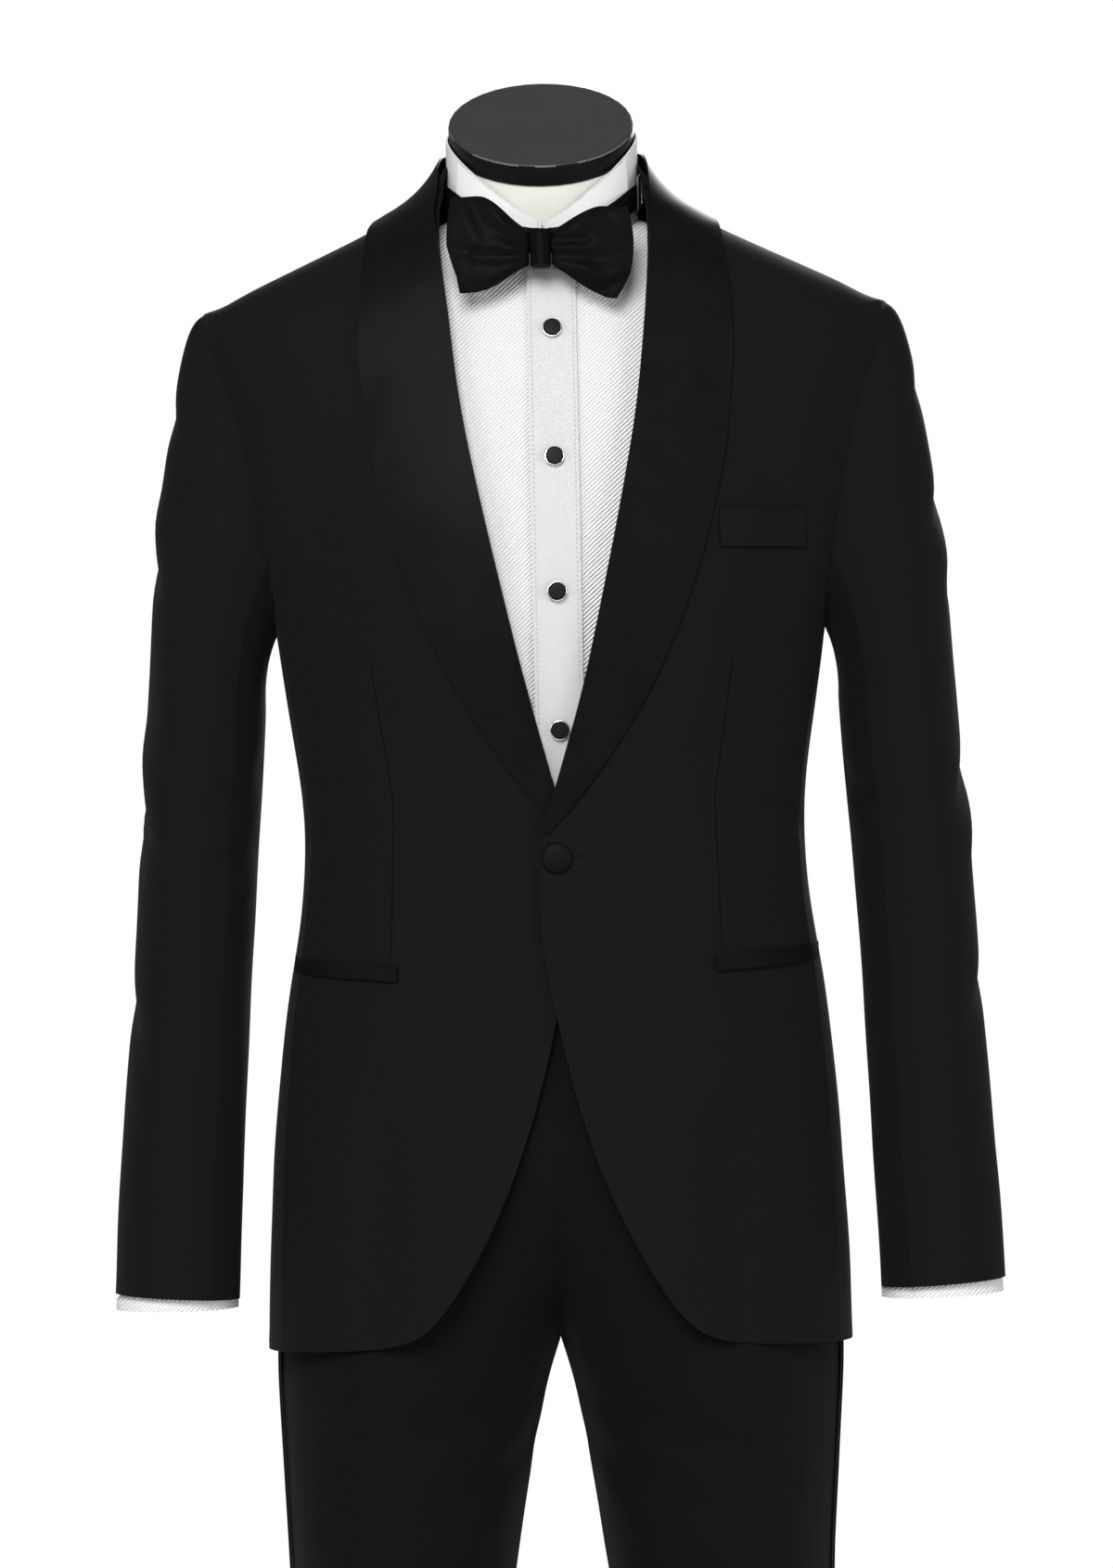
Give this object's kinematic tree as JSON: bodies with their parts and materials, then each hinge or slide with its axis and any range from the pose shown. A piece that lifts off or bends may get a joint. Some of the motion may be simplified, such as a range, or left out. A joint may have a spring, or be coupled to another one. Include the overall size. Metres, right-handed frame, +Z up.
{
  "type": "tuxedo on a dress form",
  "caption": "Shawl collar dinner suit with a wing collar shirt and a bow tie, on a limbless dress form with a pole and a round base.",
  "frame": {"origin": "the floor under the centre of the base plate", "axes": "+Z up, the front of the suit faces -Y, the wearer's left is +X"},
  "size_m": [0.575, 0.4, 1.6479],
  "materials": {
    "wool": "fine matt black twill",
    "satin": "black satin with a soft sheen",
    "shirting": "white diagonal rib cotton",
    "form_cloth": "cream woven cover",
    "cap": "satin black lacquer",
    "stud": "polished black with a bright rim",
    "slide": "black enamel",
    "steel": "brushed"
  },
  "bodies": {
    "root": {"jacket_front_left": "wool", "jacket_front_right": "wool", "jacket_side_left": "wool", "jacket_side_right": "wool", "jacket_back_left": "wool", "jacket_back_right": "wool", "sleeve_top_left": "wool", "sleeve_top_right": "wool", "sleeve_under_left": "wool", "sleeve_under_right": "wool", "collar_stand": "wool", "breast_welt": "wool", "shawl_collar_left": "satin", "shawl_collar_right": "satin", "pocket_jet_left": "satin", "pocket_jet_right": "satin", "jacket_button": "satin", "trouser_front_left": "wool", "trouser_front_right": "wool", "trouser_back_left": "wool", "trouser_back_right": "wool", "waistband_left": "wool", "waistband_right": "wool", "side_stripe_left": "satin", "side_stripe_right": "satin", "shirt_front_left": "shirting", "shirt_front_right": "shirting", "shirt_back": "shirting", "shirt_placket": "shirting", "collar_band": "shirting", "collar_wing_left": "shirting", "collar_wing_right": "shirting", "shirt_sleeve_left": "shirting", "shirt_sleeve_right": "shirting", "shirt_cuff_left": "shirting", "shirt_cuff_right": "shirting", "stud_1": "stud", "stud_2": "stud", "stud_3": "stud", "stud_4": "stud", "bow_wing_left": "satin", "bow_wing_right": "satin", "bow_knot": "satin", "bow_band": "satin", "band_slide": "slide", "form_torso": "form_cloth", "neck_cap": "cap", "stand_pole": "steel", "stand_base": "steel"}
  },
  "joints": []
}
